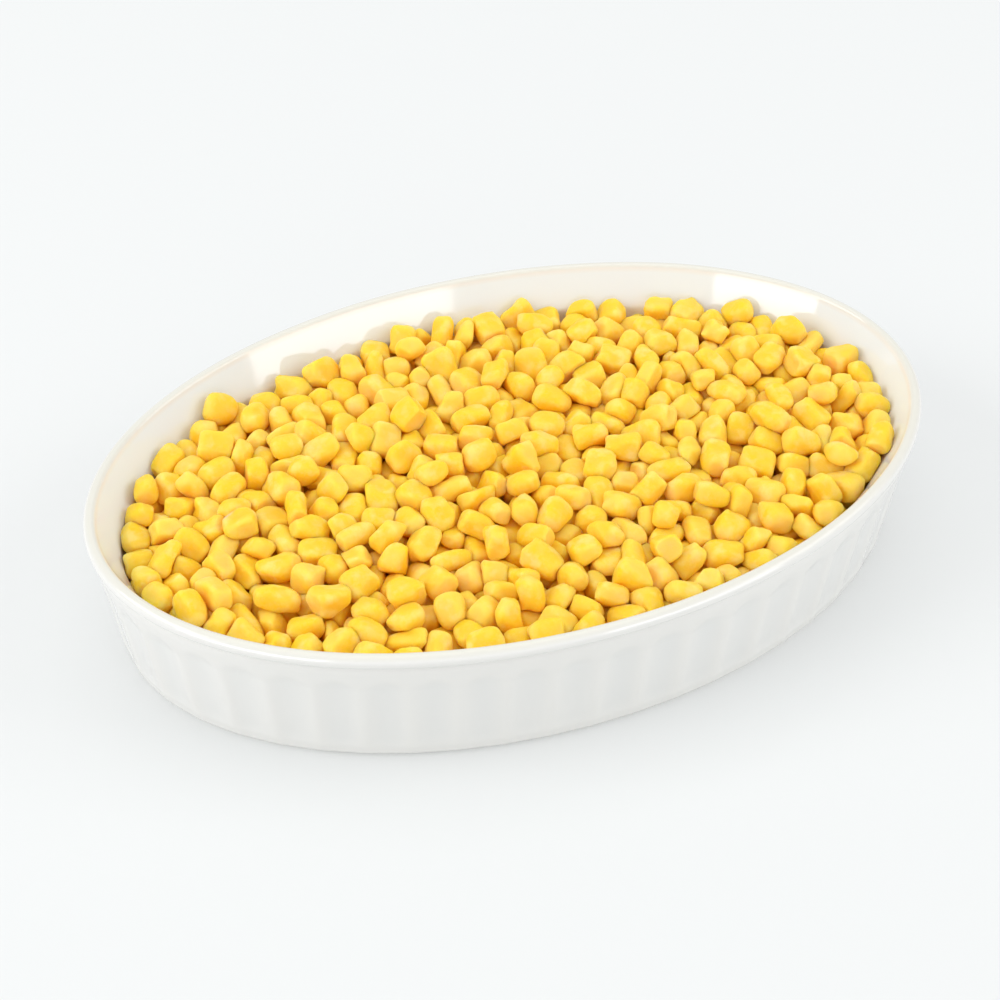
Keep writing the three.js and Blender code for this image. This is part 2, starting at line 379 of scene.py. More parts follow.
@dataclass(frozen=True)
class Dish:
    """The dish: foot, fluted wall, band, groove, bead of the lip, and the smooth inside.

    Attributes:
        form: The dish's sizes.
        steps_per_flute: Points across each channel.
        ripple: Height of the slow unevenness that hand finishing leaves, in millimetres.
        ridge_start: Share of the way from a channel's middle at which the ridge's rounding starts.
        arch_push: How much of a channel's depth the arch takes off at its top.
        arch_softness: Depth, as a share, over which a channel's edge is rounded away.
        even_inset: Inset up to which the rings run parallel to the lip.
        thin_drop: Drop below the crest at which the thin glaze of the lip starts.
        ground_height: Height up to which the foot ring is ground bare.
    """

    form: DishForm
    steps_per_flute: int = 16
    ripple: float = 0.07
    ridge_start: float = 0.8
    arch_push: float = 1.3
    arch_softness: float = 0.4
    even_inset: float = 14.0
    thin_drop: float = 1.1
    ground_height: float = 0.06

    def outline(self) -> tuple[np.ndarray, np.ndarray, np.ndarray]:
        """The half section of the dish, from the middle of its underside to that of its floor.

        Arcs are quarter or part circles, and each straight stretch is cut into a few lengths. The lip's
        inner side is part of an ellipse that ends where it is as steep as the flare, so one runs into
        the other without a step.

        Returns:
            Inset, height and zone of each point. The two middles are not among them.
        """
        form = self.form
        foot_edge = float(form.outer_inset(0.0)) + form.foot_round
        recess = foot_edge + form.foot_ring_width
        shrink = np.array([0.12, 0.4, 0.7, 0.94])
        reach = form.oval.half_width - recess - form.foot_ring_height
        under = np.stack([form.oval.half_width - reach * shrink, np.full(4, form.foot_ring_height)], -1)
        # The edges of the foot ring are worn round over less than half a millimetre.
        step = np.array([[recess + form.foot_ring_height, form.foot_ring_height], [recess + 0.35, 0.35],
                         [recess, 0.05], [recess - 0.4, 0.0], [foot_edge + 0.5, 0.0]])
        turn = np.radians(np.linspace(0, 90, 7))
        foot = np.stack([foot_edge - form.foot_round * np.sin(turn),
                         form.foot_round * (1 - np.cos(turn))], -1)
        arch = form.height - form.band_drop - form.flute_run_out
        low = np.linspace(form.foot_round, 3 * form.foot_round, 5)[1:]
        middle = np.linspace(3 * form.foot_round, arch, 12)[1:]
        top = np.linspace(arch, arch + form.flute_run_out, 15)[1:]
        heights = np.concatenate([low, middle, top])
        wall = np.stack([form.outer_inset(heights), heights], -1)
        bead_z = form.height - form.lip_round
        turn = np.radians(np.linspace(-form.bead_start, 90, 22))
        bead = np.stack([form.lip_round * (1 - np.cos(turn)), bead_z + form.lip_round * np.sin(turn)], -1)
        groove_z = form.height - form.groove_drop
        groove = np.array([[form.band_inset, groove_z - 0.8], [form.band_inset + 0.03, groove_z - 0.4],
                           [form.groove_inset, groove_z], [form.groove_inset + 0.03, groove_z + 0.25]])
        slope = form.flare * form.lip_round
        inner_half = np.sqrt((float(form.inner_inset(bead_z)) - form.lip_round) ** 2 - slope**2)
        turn = np.linspace(np.pi / 2, np.arctan2(slope, inner_half), 12)[1:]
        inner_lip = np.stack([form.lip_round + inner_half * np.cos(turn),
                              bead_z + form.lip_round * np.sin(turn)], -1)
        flare_z = form.height - form.flare_drop
        drops = np.concatenate([np.linspace(inner_lip[-1, 1], flare_z + 1, 10)[1:], [flare_z + 0.5, flare_z],
                                np.linspace(flare_z - 1, form.floor_top + form.inner_corner, 6)])
        inside = np.stack([form.inner_inset(drops), drops], -1)
        turn = np.radians(np.linspace(0, 90, 7)[1:])
        corner_z = form.floor_top + form.inner_corner * (1 - np.sin(turn))
        corner = np.stack([form.inner_inset(corner_z), corner_z], -1)
        reach = form.oval.half_width - corner[-1, 0]
        floor = np.stack([form.oval.half_width - reach * shrink[::-1], np.full(4, form.floor_top)], -1)
        stretches = {
            "under": under,
            "ring": step,
            "foot": foot,
            "wall": wall,
            "lip": np.concatenate([groove, bead, inner_lip]),
            "inside": np.concatenate([inside, corner, floor]),
        }
        section = np.concatenate(list(stretches.values()))
        zone = np.repeat(list(stretches), list(map(len, stretches.values())))
        return section[:, 0], section[:, 1], zone

    def flute_relief(self, height: np.ndarray, columns: int) -> np.ndarray:
        """Depth of the flutes over the outer wall.

        Across a channel the depth is 1 minus a parabola, whose tops are rounded where two channels
        meet in a ridge. Under the band a smooth step of the height is taken off, so each channel ends
        in a round arch, and what is left below nought is rounded away softly.

        Args:
            height: The height of each ring of the outer wall.
            columns: How many points each ring has.

        Returns:
            Depth in millimetres, as rings by columns.
        """
        form = self.form
        across = np.abs(2 * (np.arange(columns) % self.steps_per_flute) / self.steps_per_flute - 1)
        bend = self.ridge_start
        edge = bend**2 + bend * (1 - bend)
        ridge = np.where(across < bend, across**2, edge - bend / (1 - bend) * (1 - across) ** 2) / edge
        arch = form.height - form.band_drop - form.flute_run_out
        rise = np.clip((height - arch) / form.flute_run_out, 0, 1)
        left = 1 - ridge[None, :] - self.arch_push * (rise * rise * (3 - 2 * rise))[:, None]
        relief = soft_excess(left, self.arch_softness) - self.arch_softness**2 / 4
        foot = np.clip((height - form.foot_round) / (2 * form.foot_round), 0, 1)
        share = form.foot_flute_share + (1 - form.foot_flute_share) * foot * foot * (3 - 2 * foot)
        share = np.where(height < form.foot_round, form.foot_flute_share * height / form.foot_round, share)
        inside_band = height <= form.height - form.band_drop
        return form.flute_depth * np.maximum(0, relief) * (share * inside_band)[:, None]

    def surface(self) -> Surface:
        """The whole dish as one closed surface of rings parallel to the outermost line.

        Returns:
            The surface, with three values for the glaze: "ridge", from 0 in a channel to 1 on a
            ridge, "inner", which is 1 inside the dish, and "lip", which is 1 on the lip.
        """
        form = self.form
        columns = form.flutes * self.steps_per_flute
        inset, height, zone = self.outline()
        outer = np.isin(zone, ("foot", "wall"))
        relief = self.flute_relief(height, columns) * outer[:, None]
        turn = np.arange(columns) / columns * 2 * np.pi
        slow = np.sin(3 * turn + 0.7) + 0.7 * np.sin(7 * turn + 2.1) + 0.4 * np.sin(13 * turn + 4.0)
        lift = np.clip(height / form.height, 0, 1) ** 2
        points = form.oval.rings(inset[:, None] + relief, height, columns)
        reach = form.oval.half_width - self.even_inset
        squeeze = np.minimum(1, (form.oval.half_width - inset) / reach)
        flat = inset > self.even_inset
        even = form.oval.rings(np.array([self.even_inset]), np.array([0.0]), columns)[0, :, :2]
        points[flat, :, :2] = even[None] * squeeze[flat, None, None]
        points[..., 2] += self.ripple * lift[:, None] * slow[None, :]
        middles = np.array([[0, 0, form.foot_ring_height], [0, 0, form.floor_top]])
        quads, triangles = capped_rings(len(height), columns)
        ridge = 1 - relief / form.flute_depth
        lip = np.clip(height - form.height + self.thin_drop, 0, 1) * (zone == "lip")
        bare = (height < self.ground_height) & np.isin(zone, ("ring", "foot"))
        bare_band = np.repeat(bare[:-1] & bare[1:], columns)
        finish = np.concatenate([bare_band, np.zeros(len(triangles), dtype=bool)])
        return Surface(
            points=np.concatenate([points.reshape(-1, 3), middles]),
            quads=quads,
            triangles=triangles,
            values={
                "ridge": np.concatenate([ridge.ravel(), [1, 1]]),
                "inner": np.concatenate([np.repeat(zone == "inside", columns), [0, 1]]),
                "lip": np.concatenate([np.repeat(lip, columns), [0, 0]]),
            },
            finish=finish,
        )

    def build(self, glaze: bpy.types.Material, bare: bpy.types.Material) -> bpy.types.Object:
        """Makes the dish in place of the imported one.

        Args:
            glaze: The finish of the glazed surfaces.
            bare: The finish of the ground foot ring.

        Returns:
            The dish.
        """
        piece = self.surface().piece("dish_body", [glaze, bare])
        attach(piece, BODY)
        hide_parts("dish")
        return piece


@dataclass(frozen=True)
class KernelShape:
    """How the kernels of one kind are formed.

    Attributes:
        share: Share of all kernels that are of this kind.
        length: Mean length from the cut tip to the crown, and its spread.
        width: Mean width across the crown, and its spread.
        thickness: Mean thickness, and its spread.
        end_power: Range of the power that shapes the ends: 1 is round, less is squarer.
        side_power: Range of the power that shapes the cross section.
        taper: Range of the share by which the tip is narrower than the crown.
        bend: Largest sideways bow of the tip.
        dimple: Deepest hollow in the crown.
        cut: Largest share of the length that the knife took off flat.
    """

    share: float
    length: tuple[float, float]
    width: tuple[float, float]
    thickness: tuple[float, float]
    end_power: tuple[float, float]
    side_power: tuple[float, float]
    taper: tuple[float, float]
    bend: float
    dimple: float
    cut: float


class KernelKind(Enum):
    """The kinds of kernel in the heap."""

    PLUMP = KernelShape(
        0.34, (10.4, 0.9), (9.6, 0.7), (7.4, 0.6), (0.68, 0.92), (0.68, 0.92), (0.2, 0.4), 0.9, 0.6, 0.14
    )
    BLOCKY = KernelShape(
        0.28, (10.2, 0.9), (9.4, 0.7), (7.3, 0.6), (0.56, 0.76), (0.55, 0.75), (0.1, 0.3), 0.6, 0.5, 0.16
    )
    SLIM = KernelShape(
        0.12, (11.0, 0.7), (7.6, 0.5), (6.6, 0.5), (0.66, 0.88), (0.66, 0.9), (0.15, 0.4), 1.2, 0.3, 0.12
    )
    CUT = KernelShape(
        0.16, (8.8, 0.8), (9.6, 0.8), (7.4, 0.6), (0.6, 0.8), (0.58, 0.8), (0.1, 0.25), 0.4, 0.7, 0.34
    )
    ROUND = KernelShape(
        0.10, (8.4, 0.7), (8.2, 0.6), (7.3, 0.6), (0.82, 0.98), (0.82, 0.98), (0.05, 0.2), 0.3, 0.7, 0.1
    )


@dataclass
class KernelBatch:
    """The measured sizes of many kernels, one row each, drawn from their kinds.

    Attributes:
        kinds: The kind of each kernel, as its number in KernelKind.
        sizes: Named arrays of one number for each kernel.
    """

    kinds: np.ndarray
    sizes: dict[str, np.ndarray]

    @classmethod
    def draw(cls, count: int, draws: np.random.Generator) -> KernelBatch:
        """Draws kernels at random.

        Args:
            count: How many kernels.
            draws: The seeded generator.

        Returns:
            The batch.
        """
        shapes = [kind.value for kind in KernelKind]
        shares = np.array([shape.share for shape in shapes])
        kinds = draws.choice(len(shapes), size=count, p=shares / shares.sum())
        sizes: dict[str, np.ndarray] = {}
        for name in ("length", "width", "thickness"):
            table = np.array([getattr(shape, name) for shape in shapes])[kinds]
            stray = np.clip(draws.normal(size=count), -SPREAD_LIMIT, SPREAD_LIMIT)
            sizes[name] = table[:, 0] + table[:, 1] * stray
        for name in ("end_power", "side_power", "taper"):
            table = np.array([getattr(shape, name) for shape in shapes])[kinds]
            sizes[name] = table[:, 0] + (table[:, 1] - table[:, 0]) * draws.random(count)
        for name in ("bend", "dimple", "cut"):
            table = np.array([getattr(shape, name) for shape in shapes])[kinds]
            sizes[name] = table * draws.random(count)
        sizes["bend"] *= np.sign(draws.random(count) - 0.5)
        sizes["cut_lean"] = draws.uniform(-CUT_LEAN, CUT_LEAN, count)
        for name in ("wave_a", "wave_b", "wave_c"):
            sizes[name] = draws.uniform(0, 2 * np.pi, count)
        for number in range(FLATS):
            sizes[f"flat_turn_{number}"] = (number + draws.uniform(0.1, 0.9, count)) * 2 * np.pi / FLATS
            for name, ends in FLAT_RANGES.items():
                sizes[f"flat_{name}_{number}"] = draws.uniform(*ends, count)
        for number in range(DENTS):
            sizes[f"dent_turn_{number}"] = (number + draws.random(count)) * 2 * np.pi / DENTS
            for name, ends in DENT_RANGES.items():
                sizes[f"dent_{name}_{number}"] = draws.uniform(*ends, count)
        sizes["dent_depth"] = draws.uniform(*DENT_DEPTH, count)
        sizes["tone"] = draws.random(count)
        return cls(kinds, sizes)

    def forms(self, rings: int, columns: int) -> tuple[np.ndarray, dict[str, np.ndarray]]:
        """The kernels' own forms, each round its middle with its crown up.

        A kernel is an ellipsoid whose cosines and sines are raised to powers, which squares its
        section and its ends. Its width shrinks evenly towards the tip, the tip bows to one side by
        the square of its distance from the middle, slow waves round it move its sides in and out,
        and the crown is let in by a soft round hollow. What stands over a few leaning planes round
        it is pressed back to them, as its neighbours on the cob did, and so is its cut tip. The
        middle of each pressed face sinks by a bell curve, and a sum of a few sine waves that run
        through the kernel in all directions moves its skin in and out for the dents.

        Args:
            rings: Rings between the tip and the crown.
            columns: Points round each ring.

        Returns:
            Points as kernels by points by three, and by name how far up each point lies, from 0 to
            1, and how far it lies out or in, from -1 to 1.
        """
        size = {name: numbers[:, None] for name, numbers in self.sizes.items()}
        rise = np.linspace(-np.pi / 2, np.pi / 2, rings + 2)[1:-1]
        turn = np.arange(columns) / columns * 2 * np.pi
        rise = np.concatenate([np.repeat(rise, columns), [-np.pi / 2, np.pi / 2]])[None]
        turn = np.concatenate([np.tile(turn, rings), [0, 0]])[None]
        out = signed_power(np.cos(rise), size["end_power"])
        up = signed_power(np.sin(rise), size["end_power"]) / 2
        narrow = 1 - size["taper"] * (0.5 - up)
        twofold = np.sin(2 * turn + size["wave_a"]) * np.cos(2 * rise + size["wave_b"])
        threefold = np.sin(3 * turn + size["wave_b"] + 3 * up + size["wave_c"])
        waves = 1 + WAVE_HEIGHTS[0] * twofold + WAVE_HEIGHTS[1] * threefold
        x = size["width"] / 2 * out * signed_power(np.cos(turn), size["side_power"]) * narrow * waves
        y = size["thickness"] / 2 * out * signed_power(np.sin(turn), size["side_power"])
        y = y * (0.5 + 0.5 * narrow) * waves
        low = np.minimum(0, up)
        y = y + 4 * size["bend"] * low**2
        z = size["length"] * up
        near = (x / (DIMPLE_REACH * size["width"])) ** 2
        near = near + (y / (DIMPLE_REACH * size["thickness"])) ** 2
        z = z - size["dimple"] * np.exp(-near) * (up > 0)
        for number in range(FLATS):
            flat_turn, flat_rise = size[f"flat_turn_{number}"], size[f"flat_rise_{number}"]
            to_x, to_y, to_z = np.cos(flat_turn), np.sin(flat_turn), flat_rise
            long = np.sqrt(1 + flat_rise**2)
            half = np.sqrt((to_x * size["width"]) ** 2 + (to_y * size["thickness"]) ** 2
                           + (to_z * size["length"]) ** 2) / (2 * long)
            reach = half * size[f"flat_reach_{number}"]
            height = (to_x * x + to_y * y + to_z * z) / long
            aside = x**2 + y**2 + z**2 - height**2
            sink = size[f"flat_sink_{number}"] * np.exp(-aside / SINK_AREA) * (height > 0)
            back = (soft_excess(height - reach, PRESS_SOFTNESS) + sink) / long
            x, y, z = x - back * to_x, y - back * to_y, z - back * to_z
        plane = -size["length"] / 2 + size["cut"] * size["length"] + size["cut_lean"] * x
        z = plane + soft_excess(z - plane, CUT_SOFTNESS)
        relief = np.zeros_like(x)
        for number in range(DENTS):
            dent_turn, dent_rise = size[f"dent_turn_{number}"], size[f"dent_rise_{number}"]
            along = np.cos(dent_rise) * (np.cos(dent_turn) * x + np.sin(dent_turn) * y)
            along = along + np.sin(dent_rise) * z
            phase = 2 * np.pi * along / size[f"dent_wave_{number}"] + size[f"dent_from_{number}"]
            relief = relief + np.sin(phase)
        stretch = 1 + size["dent_depth"] * relief / np.sqrt(x**2 + y**2 + z**2)
        points = np.stack([x, y, z], axis=-1) * stretch[..., None]
        return points, {"along": np.broadcast_to(up + 0.5, x.shape), "relief": relief / 3}


@dataclass(frozen=True)
class Pour:
    """Pours the kernels over the core as rigid bodies and lets them settle.

    The work is done 100 times larger than life, where the solver's gaps are fine enough, with one
    hull for each kernel, and the bowl's wall carried on upwards so that nothing rolls out. The bowl
    is shaken in a small circle for a while, and the kernels nest closer and lie flatter for it.

    Attributes:
        scale: Metres of the solver for each millimetre.
        frames: Frames of settling.
        substeps: Steps of the solver in a frame.
        passes: Rounds in which the solver works out the contacts of a step.
        spacing: Distance of the kernels at the start.
        first_layer: Height of the lowest layer at the start, above the core.
        layer_gap: Height from each layer at the start to the next.
        wall_gap: Least distance of a kernel's middle from the wall at the start.
        bowl_columns: Points round the bowl.
        friction: Friction of the moist kernels.
        pull: The solver's gravity, raised so that the shaken heap settles soon.
        wall_top: Height to which the bowl's wall is carried on.
        shake: Radius of the circle in which the bowl is shaken.
        shake_start: Frame at which the shaking starts.
        shake_turn: Frames for each round of the circle.
        rest_frames: Frames of rest at the end.
    """

    scale: float = 0.1
    frames: int = 48
    substeps: int = 12
    passes: int = 12
    spacing: float = 11.0
    first_layer: float = 7.0
    layer_gap: float = 11.5
    wall_gap: float = 6.5
    bowl_columns: int = 96
    friction: float = 0.2
    pull: float = 30.0
    wall_top: float = 160.0
    shake: float = 0.6
    shake_start: int = 10
    shake_turn: int = 6
    rest_frames: int = 12

    def starts(self, heap: KernelHeap, draws: np.random.Generator) -> np.ndarray:
        """Places for the kernels to fall from: staggered rows in layers over the core.

        Args:
            heap: The heap that is poured.
            draws: The seeded generator.

        Returns:
            One row of x, y and z for each kernel.
        """
        inset = float(heap.form.inner_inset(34.0)) + self.wall_gap
        rows: list[np.ndarray] = []
        layer = 0
        while sum(map(len, rows)) < heap.count:
            y, x = np.mgrid[-9:10, -12:13].astype(float)
            x = (x + 0.5 * (y % 2) + 0.5 * (layer % 2)) * self.spacing
            y = y * self.spacing * np.sqrt(0.75)
            places = np.stack([x.ravel(), y.ravel()], -1)
            places = places[heap.form.oval.share(places, inset) < 1]
            places = places[draws.permutation(len(places))]
            level = heap.core_level(places) + self.first_layer + layer * self.layer_gap
            rows.append(np.concatenate([places, level[:, None]], -1))
            layer += 1
        starts = np.concatenate(rows)[: heap.count]
        return starts + draws.uniform(-1, 1, starts.shape)

    def bowl(self, heap: KernelHeap) -> Surface:
        """The inside that the kernels fall into: the top of the core and the wall round it.

        Args:
            heap: The heap that is poured.

        Returns:
            An open surface whose faces look in.
        """
        columns = self.bowl_columns
        form = heap.form
        heights = np.array([heap.core_edge, 24.0, 31.0, 36.0, 41.0, 60.0, self.wall_top])
        wall = form.oval.rings(form.inner_inset(np.minimum(heights, 41.0)), heights, columns)
        shares = np.array([0.15, 0.3, 0.5, 0.7, 0.85, 0.95, 1.0])
        floor = wall[:1] * shares[:, None, None]
        floor[..., 2] = heap.core_level(floor[..., :2])
        rings = np.concatenate([floor, wall[1:]])
        middle = np.array([[0, 0, 0], [0, 0, self.wall_top]], dtype=float)
        middle[0, 2] = heap.core_level(middle[:1, :2])[0]
        quads, triangles = capped_rings(len(rings), columns)
        return Surface(np.concatenate([rings.reshape(-1, 3), middle]), quads, triangles[:columns])

    def sway(self, bowl: bpy.types.Object) -> None:
        """Shakes the bowl in a circle, from the start frame until the kernels are left to rest.

        Args:
            bowl: The bowl, in the solver's size.
        """
        bowl.rigid_body.kinematic = True
        last = self.frames - self.rest_frames
        for number in range(self.shake_start, last + 1):
            share = min(1.0, (number - self.shake_start) / 4, (last - number) / 4)
            turn = 2 * np.pi * (number - self.shake_start) / self.shake_turn
            radius = self.shake * self.scale * share
            bowl.location = (radius * np.cos(turn), radius * np.sin(turn), 0)
            bowl.keyframe_insert("location", frame=number)

    def settle(self, heap: KernelHeap, batch: KernelBatch, draws: np.random.Generator) -> np.ndarray:
        """Lets the kernels fall and come to rest.

        Args:
            heap: The heap that is poured.
            batch: The kernels.
            draws: The seeded generator.

        Returns:
            One 4 by 4 matrix for each kernel, in millimetres, from its own form to its place.
        """
        scene = bpy.context.scene
        frame_before = scene.frame_current
        scene.gravity = (0, 0, -self.pull)
        bpy.ops.rigidbody.world_add()
        world = scene.rigidbody_world
        bodies = bpy.data.collections.new("pour")
        world.collection = bodies
        world.substeps_per_frame = self.substeps
        world.solver_iterations = self.passes
        world.point_cache.frame_start = 1
        world.point_cache.frame_end = self.frames
        to_solver = self.scale / MM
        bowl = self.bowl(heap).piece("pour_bowl", [])
        bowl.data.transform(Matrix.Scale(to_solver, 4))
        bodies.objects.link(bowl)
        bowl.rigid_body.type = "PASSIVE"
        bowl.rigid_body.collision_shape = "MESH"
        self.sway(bowl)
        forms, _ = batch.forms(6, 12)
        starts = self.starts(heap, draws)
        turns = draws.normal(size=(len(starts), 4))
        turns /= np.linalg.norm(turns, axis=1)[:, None]
        fallers = []
        for form, start, turn in zip(forms, starts, turns):
            mesh = bpy.data.meshes.new("pour_kernel")
            mesh.from_pydata((form * self.scale).tolist(), [], [])
            faller = bpy.data.objects.new("pour_kernel", mesh)
            faller.location = start * self.scale
            faller.rotation_mode = "QUATERNION"
            faller.rotation_quaternion = turn
            scene.collection.objects.link(faller)
            bodies.objects.link(faller)
            faller.rigid_body.collision_shape = "CONVEX_HULL"
            faller.rigid_body.linear_damping = 0.1
            faller.rigid_body.angular_damping = 0.25
            fallers.append(faller)
        for body in (bowl, *fallers):
            body.rigid_body.friction = self.friction
            body.rigid_body.restitution = 0.0
            body.rigid_body.use_margin = True
            body.rigid_body.collision_margin = 0.01
        for number in range(1, self.frames + 1):
            scene.frame_set(number)
        graph = bpy.context.evaluated_depsgraph_get()
        rest = np.array([np.array(faller.evaluated_get(graph).matrix_world) for faller in fallers])
        rest[:, :3, 3] /= self.scale
        bpy.ops.rigidbody.world_remove()
        for body in (bowl, *fallers):
            mesh = body.data
            bpy.data.objects.remove(body)
            bpy.data.meshes.remove(mesh)
        bpy.data.collections.remove(bodies)
        scene.frame_set(frame_before)
        return rest


@dataclass(frozen=True)
class KernelHeap:
    """The heap of loose kernels, with a core of packed corn under its loose layers.

    Attributes:
        form: The dish's sizes.
        pour: How the kernels are poured.
        count: Number of loose kernels.
        edge_drop: Drop of the crowns at the wall below the dish's crest.
        mound: Extra height of the middle.
        wave: Height of the gentle waves on the heap.
        wave_lengths: Length of the waves along and across the dish.
        core_depth: Depth of the core's top below the level of the crowns.
        core_edge: Height of the core's edge at the wall.
        core_columns: Points round the core.
        lump_length: Length of the lumps on the core, that of a kernel.
        lump_height: How far the lumps stand up and down.
        buried: How far below the core's top a kernel's middle may lie and still be kept.
        fit_gap: Gap between the core and the dish.
        swell: How much fuller the kernels are than the hulls that settled, as they press together.
        rings: Rings of points between a kernel's tip and crown.
        columns: Points round a kernel.
        seed: Seed of the random draws.
    """

    form: DishForm
    pour: Pour = Pour()
    count: int = 690
    edge_drop: float = 9.2
    mound: float = 5.0
    wave: float = 0.8
    wave_lengths: tuple[float, float] = (107.0, 88.0)
    core_depth: float = 12.6
    core_edge: float = 16.0
    core_columns: int = 160
    lump_length: float = 8.5
    lump_height: float = 0.8
    buried: float = 3.0
    fit_gap: float = 0.35
    swell: float = 1.065
    rings: int = 14
    columns: int = 20
    seed: int = 20413

    def crown_level(self, places: np.ndarray) -> np.ndarray:
        """Level of the crowns: a low mound with gentle waves, for rows of x and y.

        Args:
            places: Rows of x and y.

        Returns:
            The height at each place.
        """
        inset = float(self.form.inner_inset(29.0)) + self.fit_gap
        share = np.minimum(1, self.form.oval.share(places, inset))
        along = 2 * np.pi * places[..., 0] / self.wave_lengths[0] + 0.6
        across = 2 * np.pi * places[..., 1] / self.wave_lengths[1] - 0.4
        edge = self.form.height - self.edge_drop
        return edge + self.mound * (1 - share**2) + self.wave * np.sin(along) * np.cos(across)

    def core_level(self, places: np.ndarray) -> np.ndarray:
        """Height of the core's top at rows of x and y."""
        return self.crown_level(places) - self.core_depth

    def core(self) -> Surface:
        """The core: it fills the dish up to its own lumpy top.

        Its sides stand a small gap clear of the dish. Its top follows the level of the crowns, with
        lumps of a kernel's size from the product of two waves.

        Returns:
            The closed surface.
        """
        columns = self.core_columns
        form = self.form
        bottom = form.floor_top + self.fit_gap
        turn = np.radians(np.linspace(0, 90, 6))[:-1]
        heights = form.floor_top + form.inner_corner * (1 - np.cos(turn))
        heights = np.concatenate([heights, [form.floor_top + form.inner_corner, self.core_edge]])
        side = form.oval.rings(form.inner_inset(heights) + self.fit_gap, heights + self.fit_gap, columns)
        side[-1, :, 2] = self.core_level(side[-1, :, :2])
        under = side[:1] * np.array([0.3, 0.7])[:, None, None]
        under[..., 2] = bottom
        shares = np.linspace(0.975, 0.025, 39)
        top = side[-1:] * shares[:, None, None]
        lump = 2 * np.pi / self.lump_length
        bumps = np.sin(top[..., 0] * lump + 0.8 * np.sin(top[..., 1] * 0.3))
        bumps = bumps * np.cos(top[..., 1] * lump + 0.8 * np.sin(top[..., 0] * 0.27))
        top[..., 2] = self.core_level(top[..., :2]) + self.lump_height * (bumps - 1)
        rings = np.concatenate([under, side, top])
        middles = np.array([[0, 0, bottom], [0, 0, 0]], dtype=float)
        middles[1, 2] = self.core_level(middles[1:, :2])[0] - self.lump_height
        quads, triangles = capped_rings(len(rings), columns)
        return Surface(np.concatenate([rings.reshape(-1, 3), middles]), quads, triangles)

    def settled(self) -> tuple[KernelBatch, np.ndarray]:
        """Draws the kernels and lets them settle.

        Returns:
            The kernels and their 4 by 4 matrices.
        """
        draws = np.random.default_rng(self.seed)
        batch = KernelBatch.draw(self.count, draws)
        return batch, self.pour.settle(self, batch, draws)

    def build(self, skin: bpy.types.Material, flesh: bpy.types.Material) -> list[bpy.types.Object]:
        """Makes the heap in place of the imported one, one piece for each kind of kernel.

        Args:
            skin: The finish of the kernels.
            flesh: The finish of the core.

        Returns:
            The pieces.
        """
        batch, places = self.settled()
        forms, values = batch.forms(self.rings, self.columns)
        points = np.einsum("kij,kpj->kpi", places[:, :3, :3], forms * self.swell)
        points += places[:, None, :3, 3]
        inside = places[:, 2, 3] > self.core_level(places[:, :2, 3]) - self.buried
        top = points[..., 2].max(axis=1)
        LOG.info("kernels kept: %d of %d, highest point %.1f mm", inside.sum(), len(inside), top.max())
        quads, triangles = capped_rings(self.rings, self.columns)
        pieces = [self.core().piece("corn_core", [flesh])]
        for number, kind in enumerate(KernelKind):
            chosen = np.flatnonzero((batch.kinds == number) & inside)
            each = self.rings * self.columns + 2
            shift = np.arange(len(chosen))[:, None, None] * each
            surface = Surface(
                points=points[chosen].reshape(-1, 3),
                quads=(quads[None] + shift).reshape(-1, 4),
                triangles=(triangles[None] + shift).reshape(-1, 3),
                values={
                    "tone": np.repeat(batch.sizes["tone"][chosen], each),
                    **{name: numbers[chosen].ravel() for name, numbers in values.items()},
                },
            )
            pieces.append(surface.piece("kernels_" + kind.name.lower(), [skin]))
            LOG.info("kernels_%s: %d kernels", kind.name.lower(), len(chosen))
        for piece in pieces:
            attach(piece, BODY)
            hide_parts("corn_heap")
        return pieces


class Finish:
    """A material whose nodes end in one shader; each finish gives that shader's inputs."""

    name: str

    def inputs(self, tree: bpy.types.NodeTree, place: bpy.types.NodeSocket) -> dict[str | int, Any]:
        """Adds the finish's own nodes.

        Args:
            tree: The material's nodes.
            place: The place on the object, in metres.

        Returns:
            The shader's inputs by name.
        """
        raise NotImplementedError

    def material(self) -> bpy.types.Material:
        """Builds the node material.

        Returns:
            The material.
        """
        material, tree = new_material(self.name)
        place = add_node(tree, "TexCoord").outputs["Object"]
        shader = add_node(tree, "BsdfPrincipled", self.inputs(tree, place))
        add_node(tree, "OutputMaterial", {"Surface": shader.outputs[0]})
        return material


@dataclass(frozen=True)
class GrainyFinish(Finish):
    """A matte finish whose two colours follow its grain, as the grain's relief does.

    Attributes:
        name: The material's name.
        high: Colour of what stands up.
        low: Colour of what lies low.
        grain_mm: Size of a grain.
        detail: How much finer the grain's own unevenness goes.
        strength: Share of the relief that shows.
        relief_mm: Height of the relief.
        roughness: Roughness of the surface.
    """

    name: str
    high: str
    low: str
    grain_mm: float
    detail: float
    strength: float
    relief_mm: float
    roughness: float

    def inputs(self, tree: bpy.types.NodeTree, place: bpy.types.NodeSocket) -> dict[str | int, Any]:
        """Adds the grain, its two colours and its relief.

        Args:
            tree: The material's nodes.
            place: The place on the object, in metres.

        Returns:
            The shader's inputs by name.
        """
        scale = 1 / (self.grain_mm * MM)
        grain = add_node(tree, "TexNoise", {"Vector": place, "Scale": scale, "Detail": self.detail})
        height = grain.outputs["Fac"]
        blend = {0: height, 6: linear(self.low), 7: linear(self.high)}
        colour = add_node(tree, "Mix", blend, data_type="RGBA")
        relief = {"Height": height, "Strength": self.strength, "Distance": self.relief_mm * MM}
        bump = add_node(tree, "Bump", relief)
        return {
            "Base Color": colour.outputs[2],
            "Roughness": self.roughness,
            "Normal": bump.outputs[0],
        }


# The stoneware without its glaze, ground flat on the foot ring: matte, warm and speckled.
BARE_STONEWARE = GrainyFinish("bare_ground_stoneware", "#B9AE9B", "#D8D0C0", 0.5, 3.0, 0.4, 0.05, 0.85)
